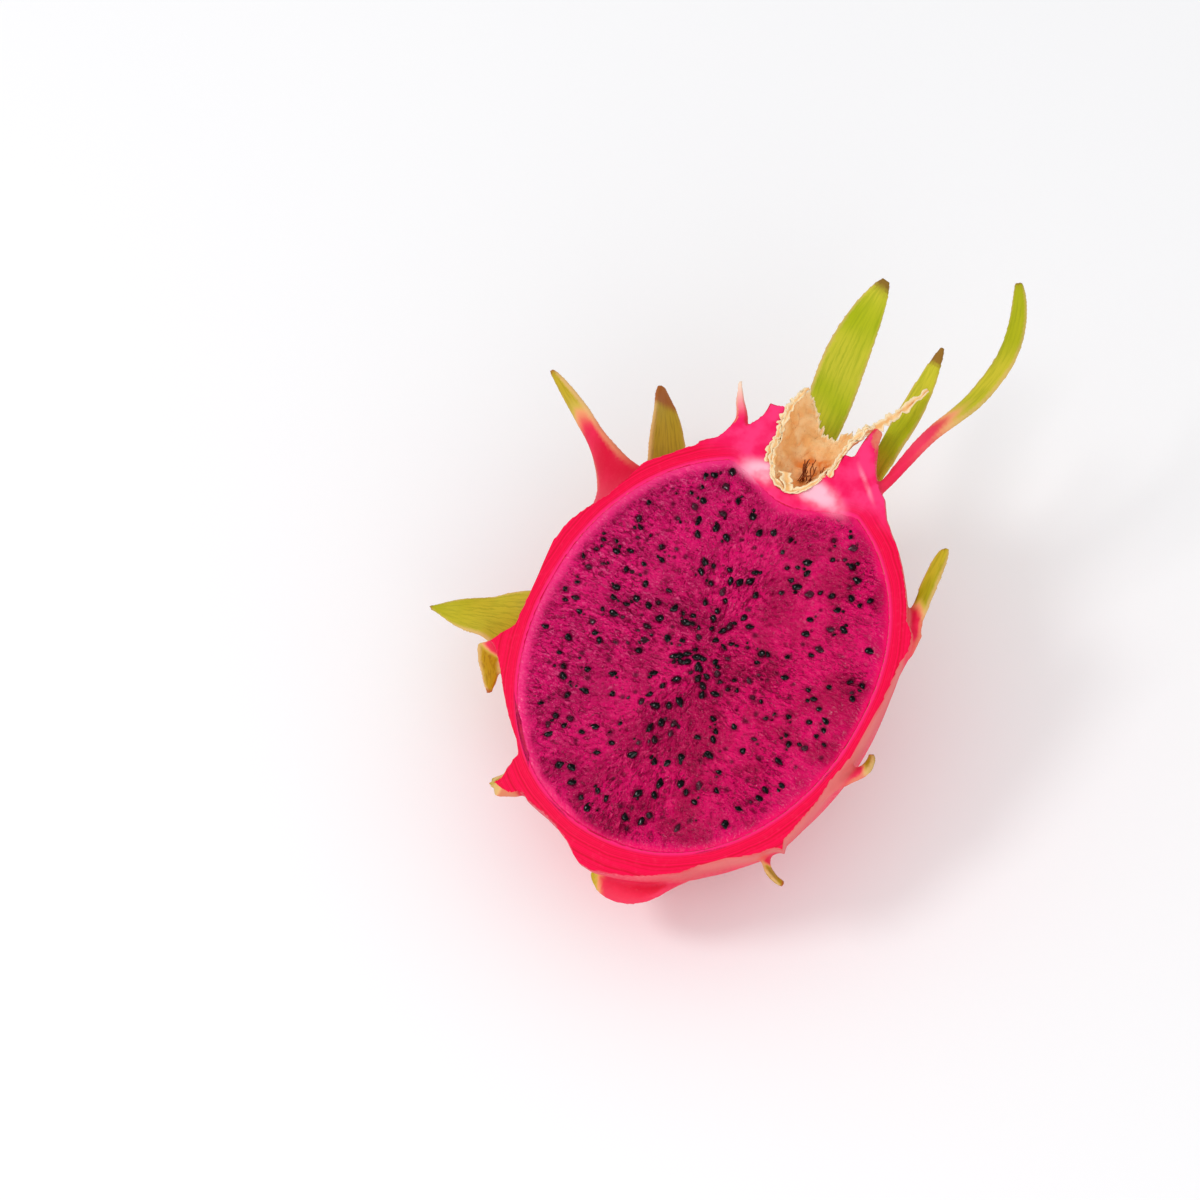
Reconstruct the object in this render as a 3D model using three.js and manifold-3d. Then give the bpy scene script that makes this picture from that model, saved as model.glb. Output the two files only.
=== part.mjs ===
// Half of a ripe red-fleshed dragon fruit, cut lengthwise through the flower end and the stem end.
// It lies on the back of its skin, cut face up, with the flower end raised a little.
// Lengths are millimetres and angles are degrees.
//
// The fruit is drawn in a frame of its own. The cut face is the plane z = 0 and the fruit is below
// it, +y runs from the stem end to the flower end, and azimuths go round that axis from the
// right-hand cut edge (0) through the back of the skin (90) to the left-hand cut edge (180).
import * as THREE from 'three';
import { mergeVertices } from 'three/addons/utils/BufferGeometryUtils.js';
import Module from 'manifold-3d';

const wasm = await Module();
wasm.setup();

const skin = { radius: 45.5, stemReach: 56.5, flowerReach: 55, roundness: 2.15 };
const neck = { radius: 16.5, top: 61, blend: 5, bevel: 0.6 };
const crater = { radius: 11.8, bottom: 43.2, roundness: 2.4 };
const flesh = { radius: 41.3, stemReach: 50.5, flowerReach: 48.5, roundness: 2.1 };
const dimple = { radius: 17, bottom: 40.2 };
const remnant = { thickness: 1.4, reach: 71, skirt: 2 };
const rest = { pitch: 14, roll: 3, flattened: 1.1 };
const blade = { sunk: 2.2, cupping: 24, stub: 0.18, slimness: 1.4, thinning: 0.55 };
const gap = 0.3;
const turns = 36;
const rings = 26;
const farAway = 300;

// Every scale is a blade that grows out of the skin. It starts at root, [azimuth, y] on the skin, and
// runs by way of via to tip, both [azimuth, y, distance from the long axis]. It is widest at the
// fraction widest of its length, and twist turns it about its own length.
const scales = [
  // the long green leaves and the torn collar round the flower end
  { root: [105, 50], via: [116, 80, 20], tip: [118, 111, 25], width: 11.5, thick: 2.4, widest: 0.45, twist: 0 },
  { root: [40, 50], via: [30, 74, 16.9], tip: [32, 95.5, 15.1], width: 7.5, thick: 2.2, widest: 0.4, twist: 0 },
  { root: [10, 45], via: [9, 79, 26.5], tip: [13, 117, 22.5], width: 6, thick: 4.4, widest: 0.55, twist: 0 },
  { root: [174, 44], via: [175, 55, 20.5], tip: [176, 63.5, 25], width: 8, thick: 4.6, widest: 0, twist: 0 },
  { root: [168, 46], via: [168, 55, 15], tip: [166, 62, 14], width: 9, thick: 4.4, widest: 0.6, twist: 0 },
  { root: [16, 46], via: [16, 57, 15], tip: [20, 67.5, 11.5], width: 13, thick: 5, widest: 0.3, twist: 0 },
  { root: [70, 42], via: [68, 60, 19.5], tip: [64, 78, 25], width: 14, thick: 2.6, widest: 0.2, twist: 0 },
  { root: [140, 42], via: [141, 60, 21], tip: [142, 76, 29], width: 14, thick: 2.6, widest: 0.2, twist: 0 },
  // the left flank
  { root: [152, 2], via: [163, 30, 49], tip: [169, 50, 74], width: 27, thick: 3.2, widest: 0.1, twist: 0 },
  { root: [136, 18], via: [147, 46, 45], tip: [153, 62, 57], width: 13, thick: 2.8, widest: 0.4, twist: 0 },
  { root: [157, -8], via: [165, -13, 57], tip: [166, -16.5, 73], width: 17, thick: 3, widest: 0.1, twist: 72 },
  { root: [172, -14], via: [172, -22, 49], tip: [170, -31.5, 44.5], width: 9, thick: 3.2, widest: 0.1, twist: 0 },
  { root: [168, -34], via: [174, -49, 27], tip: [177, -52.5, 30], width: 20, thick: 5, widest: 0, twist: 0 },
  // the right flank
  { root: [8, 2], via: [7, 32, 40.2], tip: [6, 48, 38.8], width: 12, thick: 3.2, widest: 0.4, twist: 0 },
  { root: [9, -28], via: [9, -11, 48.4], tip: [10, -3, 47.4], width: 9, thick: 3.6, widest: 0, twist: 0 },
  { root: [14, -30], via: [12, -38, 37.5], tip: [13, -40.5, 42.5], width: 6, thick: 2.4, widest: 0, twist: 30 },
  { root: [48, -40], via: [70, -57, 20], tip: [100, -58.5, 21], width: 20, thick: 3.6, widest: 0.2, twist: 0 },
  // the back of the skin, where two of them also bear on the surface under the fruit
  { root: [36, 12], via: [35, 33, 42.5], tip: [33, 50, 46], width: 25, thick: 3.2, widest: 0.1, twist: 0 },
  { root: [108, -10], via: [110, 9, 48.6], tip: [113, 25, 56.6], width: 27, thick: 3.8, widest: 0.1, twist: 0 },
  { root: [70, -10], via: [69, 8, 49.2], tip: [67, 24, 59], width: 27, thick: 3.8, widest: 0.1, twist: 0 },
  { root: [88, 26], via: [90, 44, 33], tip: [93, 60, 38], width: 22, thick: 3, widest: 0.1, twist: 0 },
  { root: [136, -26], via: [139, -4, 48], tip: [142, 12, 54], width: 25, thick: 3.2, widest: 0.1, twist: 0 },
  { root: [36, -28], via: [34, -7, 48], tip: [31, 9, 53], width: 24, thick: 3.2, widest: 0.1, twist: 0 },
  { root: [98, -46], via: [102, -31, 42.5], tip: [107, -17, 47.6], width: 22, thick: 3.2, widest: 0.1, twist: 0 },
];

// The remains of the flower seen square to the cut face: the ragged flap at the left, the low middle
// and the wing at the right, as [x, y].
const raggedEdge = [
  [-14, 60], [-13.2, 64], [-10.8, 70], [-8.4, 67.6], [-5.2, 65], [-1, 60.2],
  [2, 60.6], [6.4, 64.6], [10.2, 68], [13.5, 62],
];

// A superellipse through reach on the axis and radius at y = 0.
const superellipse = (y, radius, reach, n) =>
  radius * Math.max(0, 1 - Math.abs(y / reach) ** n) ** (1 / n);

// Distance from the long axis to the skin, the shoulders running smoothly into the neck.
function skinRadius(y) {
  const body = superellipse(y, skin.radius, y < 0 ? skin.stemReach : skin.flowerReach, skin.roundness);
  return y < 0 ? body : (body ** neck.blend + neck.radius ** neck.blend) ** (1 / neck.blend);
}

// Distance from the long axis to the wall of the crater.
const craterRadius = (y) =>
  crater.radius * ((y - crater.bottom) / (neck.top - crater.bottom)) ** (1 / crater.roundness);

// Heights from one to another, closer together towards both ends.
function spread(from, to, count) {
  const half = (to - from) / 2;
  return Array.from({ length: count + 1 }, (_, i) => from + half * (1 - Math.cos((Math.PI * i) / count)));
}

// A closed three.js geometry as a manifold-3d solid.
function solid(geometry) {
  const bare = geometry.index ? geometry.toNonIndexed() : geometry.clone();
  bare.deleteAttribute('normal');
  bare.deleteAttribute('uv');
  const merged = mergeVertices(bare, 1e-4);
  const corners = [];
  for (let i = 0; i < merged.index.count; i += 3) {
    const [a, b, c] = [0, 1, 2].map((k) => merged.index.getX(i + k));
    if (a !== b && b !== c && c !== a) corners.push(a, b, c);
  }
  return new wasm.Manifold(new wasm.Mesh({
    numProp: 3,
    vertProperties: merged.attributes.position.array,
    triVerts: new Uint32Array(corners),
  }));
}

// A solid as a named three.js mesh.
function meshOf(name, body, { color, roughness }) {
  const { vertProperties, triVerts } = body.getMesh();
  const geometry = new THREE.BufferGeometry();
  geometry.setAttribute('position', new THREE.BufferAttribute(vertProperties, 3));
  geometry.setIndex(new THREE.BufferAttribute(triVerts, 1));
  geometry.computeVertexNormals();
  const mesh = new THREE.Mesh(geometry, new THREE.MeshStandardMaterial({ color, roughness, metalness: 0 }));
  mesh.name = name;
  return mesh;
}

// A profile of [distance from the axis, y] turned about the long axis.
const turned = (profile) =>
  solid(new THREE.LatheGeometry(profile.map(([r, y]) => new THREE.Vector2(r, y)), turns));

// Everything below the cut face, as a large box.
const belowCutFace = () =>
  solid(new THREE.BoxGeometry(farAway, farAway, farAway).translate(0, 0, -farAway / 2));

// The whole fruit's skin as a solid, closed at the neck.
function skinBody() {
  const side = spread(-skin.stemReach, neck.top - 2 * neck.bevel, rings).map((y) => [skinRadius(y), y]);
  side[0][0] = 0;
  return turned([...side, [neck.radius - neck.bevel, neck.top], [0, neck.top]]);
}

// The crater and the air above it.
function craterBody() {
  const wall = spread(crater.bottom, neck.top, 10).map((y) => [craterRadius(y), y]);
  return turned([...wall, [crater.radius, farAway], [0, farAway]]);
}

// The flesh grown by a margin on every side, dimpled under the crater.
function fleshBody(margin) {
  const side = spread(-flesh.stemReach, flesh.flowerReach, rings)
    .map((y) => [superellipse(y, flesh.radius, y < 0 ? flesh.stemReach : flesh.flowerReach, flesh.roundness), y])
    .filter(([r, y]) => y < 0 || r > dimple.radius)
    .map(([r, y]) => [r + margin * (r / flesh.radius), y + margin * (y / flesh.stemReach)]);
  side[0][0] = 0;
  const [brink, shoulder] = side.at(-1);
  const dip = spread(0, 1, 8).reverse().slice(1)
    .map((s) => [brink * s, margin + dimple.bottom + (shoulder - margin - dimple.bottom) * s * s * (3 - 2 * s)]);
  return turned([...side, ...dip]);
}

// A point round the long axis, from azimuth, y and distance.
function around([azimuth, y, r]) {
  const a = THREE.MathUtils.degToRad(azimuth);
  return new THREE.Vector3(r * Math.cos(a), y, -r * Math.sin(a));
}

// How wide a blade is at the fraction t of its length, 1 where it is widest and 0 at the tip.
function bladeWidth(t, widest) {
  const s = (t + blade.stub) / (1 + blade.stub);
  const m = (widest + blade.stub) / (1 + blade.stub);
  return ((s / m) ** m * ((1 - s) / (1 - m)) ** (1 - m)) ** blade.slimness;
}

// One fleshy scale: a ball drawn out along its own centre line and flattened, rooted inside the skin.
function scaleBody({ root, via, tip, width, thick, widest, twist }) {
  const start = around([...root, skinRadius(root[1]) - blade.sunk]);
  const end = around(tip);
  const bend = around(via).multiplyScalar(2).sub(start.clone().add(end).multiplyScalar(0.5));
  const line = new THREE.QuadraticBezierCurve3(start, bend, end);
  const ball = new THREE.SphereGeometry(1, 10, 11);
  const place = ball.attributes.position;
  const point = new THREE.Vector3();
  for (let i = 0; i < place.count; i++) {
    point.fromBufferAttribute(place, i);
    const t = (point.y + 1) / 2;
    const ring = Math.hypot(point.x, point.z);
    const fullness = Math.min(1, 1.7 * ring);
    const c = line.getPoint(t);
    const along = line.getTangent(t);
    const outwards = new THREE.Vector3(c.x, 0, c.z).normalize();
    const side = along.clone().cross(outwards).normalize();
    side.applyAxisAngle(along, THREE.MathUtils.degToRad(twist) * Math.min(1, 2 * t));
    const out = side.clone().cross(along).normalize();
    const across = ring > 0 ? (point.x / ring) * fullness * (width / 2) * bladeWidth(t, widest) : 0;
    const through = ring > 0 ? (point.z / ring) * fullness * (thick / 2) * (1 - blade.thinning * t) : 0;
    c.addScaledVector(side, across).addScaledVector(out, through - across ** 2 / (2 * blade.cupping));
    place.setXYZ(i, c.x, c.y, c.z);
  }
  return solid(ball);
}

// The papery remains of the flower: a thin cup against the crater wall, with a ragged edge.
function remnantBody() {
  const floor = crater.bottom + gap;
  const heights = spread(floor + remnant.skirt, neck.top, 8);
  const wall = [[0, floor], ...heights.map((y) => [craterRadius(y) - gap, y]), [crater.radius - gap, remnant.reach]];
  const inset = ([r, y]) => [Math.max(0, r - remnant.thickness), y + remnant.thickness];
  const hollow = [[0, floor + remnant.thickness], ...wall.slice(2).map(inset), [0, farAway / 2]];
  const outline = new THREE.Shape(raggedEdge.map(([x, y]) => new THREE.Vector2(x, y)));
  outline.lineTo(raggedEdge.at(-1)[0], 0);
  outline.lineTo(raggedEdge[0][0], 0);
  const cutter = new THREE.ExtrudeGeometry(outline, { depth: farAway, bevelEnabled: false });
  cutter.translate(0, 0, -farAway / 2);
  return turned([...wall, [0, remnant.reach]]).subtract(turned(hollow)).intersect(solid(cutter));
}

const tilt = new THREE.Matrix4().makeRotationFromEuler(new THREE.Euler(
  THREE.MathUtils.degToRad(rest.pitch), THREE.MathUtils.degToRad(-rest.roll), 0));

// How far below the middle of the cut face the fruit rests, with the skin pressed a little flat.
function restingDepth(body) {
  const { vertProperties } = body.getMesh();
  const point = new THREE.Vector3();
  let lowest = 0;
  for (let i = 0; i < vertProperties.length; i += 3) {
    point.fromArray(vertProperties, i).applyMatrix4(tilt);
    lowest = Math.min(lowest, point.z);
  }
  return -lowest - rest.flattened;
}

// Everything under the surface that the fruit rests on, in the fruit's own frame.
function surfaceBody(depth) {
  const slab = new THREE.BoxGeometry(farAway, farAway, farAway).translate(0, 0, -farAway / 2 - depth);
  return solid(slab.applyMatrix4(tilt.clone().invert()));
}

const depth = restingDepth(skinBody());

// The skin with all its scales, which grow out of it as one piece.
function peelBody() {
  let body = skinBody();
  for (const scale of scales) body = body.add(scaleBody(scale));
  return body.subtract(fleshBody(gap)).subtract(craterBody()).intersect(belowCutFace()).subtract(surfaceBody(depth));
}

const fruit = new THREE.Group();
fruit.add(meshOf('peel', peelBody(), { color: 0xe3204f, roughness: 0.45 }));
fruit.add(meshOf('flesh', fleshBody(0).intersect(belowCutFace()), { color: 0xb8145f, roughness: 0.35 }));
fruit.add(meshOf('dried_flower', remnantBody().intersect(belowCutFace()), { color: 0xe8b57a, roughness: 0.85 }));
fruit.applyMatrix4(tilt);

// The part's own frame stands at the middle of the footprint, on the surface that it rests on.
fruit.updateMatrixWorld(true);
const extent = new THREE.Box3().setFromObject(fruit, true);
const middle = extent.getCenter(new THREE.Vector3());
fruit.position.set(-middle.x, -middle.y, depth);

const part = new THREE.Group();
part.add(fruit);
export default part;
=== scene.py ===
import math

import bpy
import numpy as np
from mathutils import Matrix, Vector
from mathutils.kdtree import KDTree


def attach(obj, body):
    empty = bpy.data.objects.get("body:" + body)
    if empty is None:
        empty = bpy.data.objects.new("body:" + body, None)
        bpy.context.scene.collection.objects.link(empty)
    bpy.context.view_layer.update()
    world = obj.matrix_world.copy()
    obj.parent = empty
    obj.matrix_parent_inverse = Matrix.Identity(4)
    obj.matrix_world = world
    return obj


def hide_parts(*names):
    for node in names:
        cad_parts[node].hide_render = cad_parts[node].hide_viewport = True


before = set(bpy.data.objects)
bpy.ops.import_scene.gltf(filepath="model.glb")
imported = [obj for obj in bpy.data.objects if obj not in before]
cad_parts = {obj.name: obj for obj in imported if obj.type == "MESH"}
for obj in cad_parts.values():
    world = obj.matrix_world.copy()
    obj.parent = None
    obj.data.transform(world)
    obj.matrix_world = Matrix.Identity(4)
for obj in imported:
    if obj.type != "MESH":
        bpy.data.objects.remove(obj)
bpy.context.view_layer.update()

mm = 0.001

# The half fruit is modelled in its own frame and laid down at the end: the cut face is z = 0, the
# flower end is +y, and azimuths run round y from the right-hand cut edge, through the back, to the left.
lay = {"pitch": 14, "roll": 3}
tilt = (Matrix.Rotation(math.radians(lay["pitch"]), 3, "X")
        @ Matrix.Rotation(math.radians(-lay["roll"]), 3, "Y"))

body = {
    "radius": 45.5, "stemReach": 56.5, "flowerReach": 55, "roundness": 2.15,
    "neckRadius": 16.5, "neckTop": 58, "neckBlend": 5,
    "craterRadius": 9.6, "craterBottom": 43.2, "craterTop": 62, "craterRoundness": 2.6, "craterShift": -1.7,
    "spinSteps": 128, "profileSteps": 54,
}
pulp = {
    "radius": 41.3, "stemReach": 50.5, "flowerReach": 48.5, "roundness": 2.1,
    "dimpleRadius": 16.6, "dimpleShoulder": 44.9, "dimpleBottom": 40.2,
}


def cadPlace():
    # the fruit frame's origin in the row's frame, read off the CAD flesh
    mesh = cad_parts["flesh"].data
    corners = np.array([v.co for v in mesh.vertices]) @ np.array(tilt)
    low, high = corners.min(0), corners.max(0)
    origin = Vector(((low[0] + high[0]) / 2, low[1] + pulp["stemReach"] * mm, high[2]))
    return Matrix.Translation(tilt @ origin) @ tilt.to_4x4()


fruitPlace = cadPlace()
print("fruit frame at", [round(c, 4) for c in fruitPlace.translation])


def smoothStep(low, high, x):
    t = np.clip((x - low) / (high - low), 0, 1)
    return t * t * (3 - 2 * t)


def latticeNoise(points, seed):
    # smooth value noise in -1..1 for an (n, 3) array, one cell to a unit
    cell = np.floor(points).astype(np.int64)
    inside = points - cell
    inside = inside * inside * (3 - 2 * inside)
    total = np.zeros(len(points))
    for corner in np.ndindex(2, 2, 2):
        c = cell + corner
        h = (c[:, 0] * 73856093) ^ (c[:, 1] * 19349663) ^ (c[:, 2] * 83492791) ^ (seed * 2654435761)
        h = (h ^ (h >> 13)) * 1274126177 & 0xFFFFFFFF
        h = (h ^ (h >> 16)) & 0xFFFF
        weight = np.prod(np.where(corner, inside, 1 - inside), axis=1)
        total += weight * (h / 32767.5 - 1)
    return total


def coordsOf(obj):
    co = np.empty(len(obj.data.vertices) * 3)
    obj.data.vertices.foreach_get("co", co)
    return co.reshape(-1, 3)


def setCoords(obj, co):
    obj.data.vertices.foreach_set("co", co.ravel())
    obj.data.update()


def newGrid(across, along):
    # a flat grid, and its points' coordinates from -1 to 1
    bpy.ops.object.select_all(action="DESELECT")
    bpy.ops.mesh.primitive_grid_add(x_subdivisions=across, y_subdivisions=along, size=2)
    obj = bpy.context.object
    return obj, coordsOf(obj)


def setAttribute(obj, name, values):
    kind = "FLOAT" if values.ndim == 1 else "FLOAT_VECTOR"
    attribute = obj.data.attributes.new(name, kind, "POINT")
    attribute.data.foreach_set("value" if kind == "FLOAT" else "vector", values.astype(np.float32).ravel())


def pickOnly(*objs):
    bpy.ops.object.select_all(action="DESELECT")
    for obj in objs:
        obj.select_set(True)
    bpy.context.view_layer.objects.active = objs[0]


def applyModifier(obj, kind, **settings):
    pickOnly(obj)
    modifier = obj.modifiers.new(kind.lower(), kind)
    for key, value in settings.items():
        setattr(modifier, key, value)
    bpy.ops.object.modifier_apply(modifier=modifier.name)


def joinInto(target, others):
    pickOnly(target, *others)
    bpy.ops.object.join()
    return target


def warp(co):
    # the slow, uneven swelling that a grown fruit has below its cut face, the same for every piece
    p = co / mm
    bumps = np.stack([latticeNoise(p / 31 + 7.3, 11), latticeNoise(p / 31 + 1.9, 12)], 1)
    swell = 1 + 0.024 * bumps[:, 0] * smoothStep(2, 22, -p[:, 2])
    out = co.copy()
    out[:, 0] *= swell
    out[:, 2] *= swell
    lift = latticeNoise(np.column_stack([p[:, :2] / 19, p[:, 0] * 0]) + 3.7, 13)
    out[:, 2] += 0.35 * mm * lift * smoothStep(-7, 0, p[:, 2])
    return out


def layDown(obj, name, nodeName=None):
    # warped, laid in the row's frame with its place in its mesh, and riding on the root body
    setCoords(obj, warp(coordsOf(obj)))
    obj.data.transform(fruitPlace)
    obj.name = name
    obj.data.name = name
    pickOnly(obj)
    bpy.ops.object.shade_smooth()
    if nodeName:
        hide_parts(nodeName)
    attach(obj, "root")
    print(name, len(obj.data.polygons), "faces")
    return obj


def superellipse(y, radius, reach, n):
    return radius * np.maximum(0, 1 - np.abs(y / reach) ** n) ** (1 / n)


def skinRadius(y):
    y = np.asarray(y, float)
    reach = np.where(y < 0, body["stemReach"], body["flowerReach"])
    r = superellipse(y, body["radius"], reach, body["roundness"])
    k = body["neckBlend"]
    return np.where(y < 0, r, (r ** k + body["neckRadius"] ** k) ** (1 / k))


def craterRadius(y):
    height = body["craterTop"] - body["craterBottom"]
    depth = np.clip((np.asarray(y, float) - body["craterBottom"]) / height, 0, 1)
    return body["craterRadius"] * depth ** (1 / body["craterRoundness"])


def spread(low, high, count):
    return low + (high - low) / 2 * (1 - np.cos(np.pi * np.arange(count + 1) / count))


def spunBody(profile, steps):
    # one vertex is drawn out along the profile of (distance from the axis, y) and spun round the y axis
    bpy.ops.object.select_all(action="DESELECT")
    bpy.ops.mesh.primitive_plane_add(size=mm)
    bpy.ops.object.mode_set(mode="EDIT")
    bpy.ops.mesh.merge(type="CENTER")
    bpy.ops.transform.translate(value=(profile[0][0] * mm, profile[0][1] * mm, 0))
    for a, b in zip(profile, profile[1:]):
        step = ((b[0] - a[0]) * mm, (b[1] - a[1]) * mm, 0)
        bpy.ops.mesh.extrude_vertices_move(TRANSFORM_OT_translate={"value": step})
    bpy.ops.mesh.select_all(action="SELECT")
    bpy.ops.mesh.spin(steps=steps, angle=2 * math.pi, center=(0, 0, 0), axis=(0, 1, 0))
    bpy.ops.mesh.select_all(action="SELECT")
    bpy.ops.mesh.remove_doubles(threshold=0.002 * mm)
    bpy.ops.mesh.normals_make_consistent(inside=False)
    bpy.ops.object.mode_set(mode="OBJECT")
    return bpy.context.object


def cutAtFace(obj):
    # everything above the cut face is cut away and the cut is closed
    pickOnly(obj)
    bpy.ops.object.mode_set(mode="EDIT")
    bpy.ops.mesh.select_all(action="SELECT")
    bpy.ops.mesh.bisect(plane_co=(0, 0, 0), plane_no=(0, 0, 1), use_fill=True, clear_outer=True)
    bpy.ops.object.mode_set(mode="OBJECT")
    return obj


def cutAtFloor(obj):
    # what would press into the floor is pressed flat
    pickOnly(obj)
    bpy.ops.object.mode_set(mode="EDIT")
    bpy.ops.mesh.select_all(action="SELECT")
    bpy.ops.mesh.bisect(plane_co=(0, 0, 0.02 * mm), plane_no=(0, 0, 1), use_fill=True, clear_inner=True)
    bpy.ops.object.mode_set(mode="OBJECT")
    co = coordsOf(obj)
    co[:, 2] = np.maximum(co[:, 2], 0.02 * mm)
    setCoords(obj, co)


blade = {
    "cupping": 24, "stub": 0.18, "slimness": 1.4,
    "across": 20, "along": 52, "edgeThinning": 0.45, "wave": 0.5,
}
# root is (azimuth, y) on the skin; path runs on to the tip through (azimuth, y, distance from the long axis).
# flare draws the base out wide with hollow sides; green is where along the scale the green begins and is
# full; brown is where the dry tip begins; margin is how much of the half width is a dry edge.
scales = [
    # long green leaves and torn collar round the flower end
    {"root": (105, 50), "path": [(112, 66, 16.5), (118, 90, 23), (118, 111, 25)], "width": 11.6, "thick": 2,
     "widest": 0.5, "green": (0.0, 0.1), "brown": 0.93, "lime": 1.0, "margin": 0.07},
    {"root": (36, 52), "path": [(33, 64, 16.2), (30, 78, 16.2), (32, 95.8, 15.2)], "width": 6.4, "thick": 1.9,
     "widest": 0.42, "green": (0.02, 0.2), "brown": 0.86, "lime": 0.85, "margin": 0.08, "twist": (20, 50)},
    {"root": (8, 51.5), "path": [(8.7, 57.2, 18.9), (7.5, 70.9, 22.2), (8.2, 86.6, 28.2), (9.8, 99, 29.3),
                               (12.7, 118, 22.6)], "width": 5.4, "thick": 2.4, "widest": 0.62,
     "green": (0.3, 0.56), "brown": 0.97, "lime": 0.75, "margin": 0.1, "twist": (40, 62)},
    {"root": (174, 45), "path": [(175.5, 54.5, 19.8), (178, 59, 22.6), (179, 64.2, 25.1)], "width": 9,
     "thick": 5, "flare": 1.1, "taper": 0.8, "green": (1.2, 1.4), "brown": 1.3, "lime": 0, "pale": 0.5},
    {"root": (177, 46), "path": [(177, 55, 14.3), (175, 62.8, 13.7)], "width": 9, "thick": 5.2,
     "widest": 0.75, "taper": 0.1, "green": (1.2, 1.4), "brown": 1.3, "lime": 0},
    {"root": (3, 48), "sunk": 8, "path": [(4, 55, 13), (7, 61.5, 11.5), (10, 67.6, 11)], "width": 13,
     "thick": 10, "flare": 0.9, "taper": 0.75, "green": (1.2, 1.4), "brown": 1.3, "lime": 0},
    {"root": (70, 42), "path": [(68, 56, 18), (64, 66, 20)], "width": 14, "thick": 2.2, "widest": 0.2,
     "green": (0.35, 0.75), "brown": 0.93, "lime": 0.7},
    {"root": (140, 42), "path": [(141, 55, 18), (142, 63, 20)], "width": 14, "thick": 2.2, "widest": 0.2,
     "green": (0.35, 0.75), "brown": 0.93, "lime": 0.7},
    # left flank
    {"root": (172, 26), "path": [(168, 33, 47), (169, 42, 60), (169.3, 50.6, 75)], "width": 5.6, "thick": 2.6,
     "widest": 0.45, "sunk": 3.6, "skirt": (26, 0.17), "twist": (75, 55), "green": (0.5, 0.85),
     "brown": 0.95, "lime": 0.35, "margin": 0.24},
    {"root": (138, 20), "path": [(148.4, 46, 46.4), (152.8, 62.5, 57.2)], "width": 14, "thick": 2.2,
     "widest": 0.45, "green": (0.2, 0.45), "brown": 0.84, "lime": 0.25, "margin": 0.1},
    {"root": (157, -8), "path": [(165, -13, 57), (166, -16.5, 73)], "width": 17.5, "thick": 2.4,
     "widest": 0.12, "twist": (0, 72), "green": (0.1, 0.32), "brown": 0.96, "lime": 0.6, "margin": 0.08},
    {"root": (175, -18), "path": [(174.5, -22.5, 45.3), (175, -27, 44.2), (174.6, -32.4, 42.9)], "width": 5,
     "thick": 1.8, "widest": 0.4, "twist": (60, 70), "green": (0.2, 0.4), "brown": 0.92, "lime": 0.05,
     "margin": 0.2},
    {"root": (176, -46.2), "sunk": 3, "path": [(176, -49, 26), (177.5, -52.3, 30.4)], "width": 9, "thick": 6,
     "widest": 0.2, "twist": (88, 88), "green": (0.74, 0.9), "brown": 1.2, "lime": 0.5, "margin": 0.14},
    # right flank
    {"root": (7, 12), "path": [(6, 22.5, 41.9), (5.5, 32, 40.9), (5.5, 42.5, 39.9), (6, 49, 38.6)],
     "width": 4.9, "thick": 2, "widest": 0.62, "skirt": (3, 0.15), "twist": (20, 50),
     "green": (0.5, 0.68), "brown": 0.97, "lime": 0.45, "margin": 0.12},
    {"root": (6, -16), "sunk": 3.2, "path": [(6.5, -11, 46.2), (7, -7.6, 48.2), (8, -3.2, 47.5)],
     "width": 2.6, "thick": 2.8, "widest": 0.5, "skirt": (8, 0.3), "twist": (80, 55),
     "green": (0.62, 0.8), "brown": 0.95, "lime": 0.2},
    {"root": (12, -33), "path": [(11, -38, 37.4), (11, -39.8, 43)], "width": 3.6, "thick": 1.9, "widest": 0.6,
     "twist": (30, 30), "green": (0.4, 0.6), "brown": 0.93, "lime": 0.05},
    {"root": (24, -38), "path": [(31, -46.5, 24), (44, -53.5, 18), (72, -56.3, 13), (95, -55.3, 12)],
     "width": 11, "thick": 3, "widest": 0.5, "green": (0.88, 1.0), "brown": 1.2, "lime": 0.4, "margin": 0},
    # back of the skin
    {"root": (44, 12), "path": [(45, 28, 43), (47, 38, 40)], "width": 32, "flare": 1.15},
    {"root": (108, -10), "path": [(110, 9, 48.6), (113, 25, 56.6)], "width": 34, "thick": 3.4, "flare": 1.15},
    {"root": (70, -10), "path": [(69, 8, 49.2), (67, 24, 59)], "width": 34, "thick": 3.4, "flare": 1.15},
    {"root": (88, 26), "path": [(90, 44, 33), (93, 60, 38)], "width": 28, "flare": 1.15},
    {"root": (136, -26), "path": [(139, -4, 48), (142, 12, 54)], "width": 32, "flare": 1.15},
    {"root": (42, -28), "path": [(40, -12, 46), (39, 1, 46.6)], "width": 30, "flare": 1.15},
    {"root": (98, -46), "path": [(102, -31, 42.5), (107, -17, 47.6)], "width": 28, "flare": 1.15},
]
commonScale = {"thick": 2.8, "sunk": 2.2, "taper": 0.45, "widest": 0.1, "flare": 0, "skirt": (0, 1),
               "twist": (0, 0), "green": (0.6, 1.0), "brown": 0.94, "lime": 0.5, "margin": 0.12, "pale": 2}


def aroundAxis(azimuth, y, r):
    a = math.radians(azimuth)
    return np.array([r * math.cos(a), y, -r * math.sin(a)])


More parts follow.
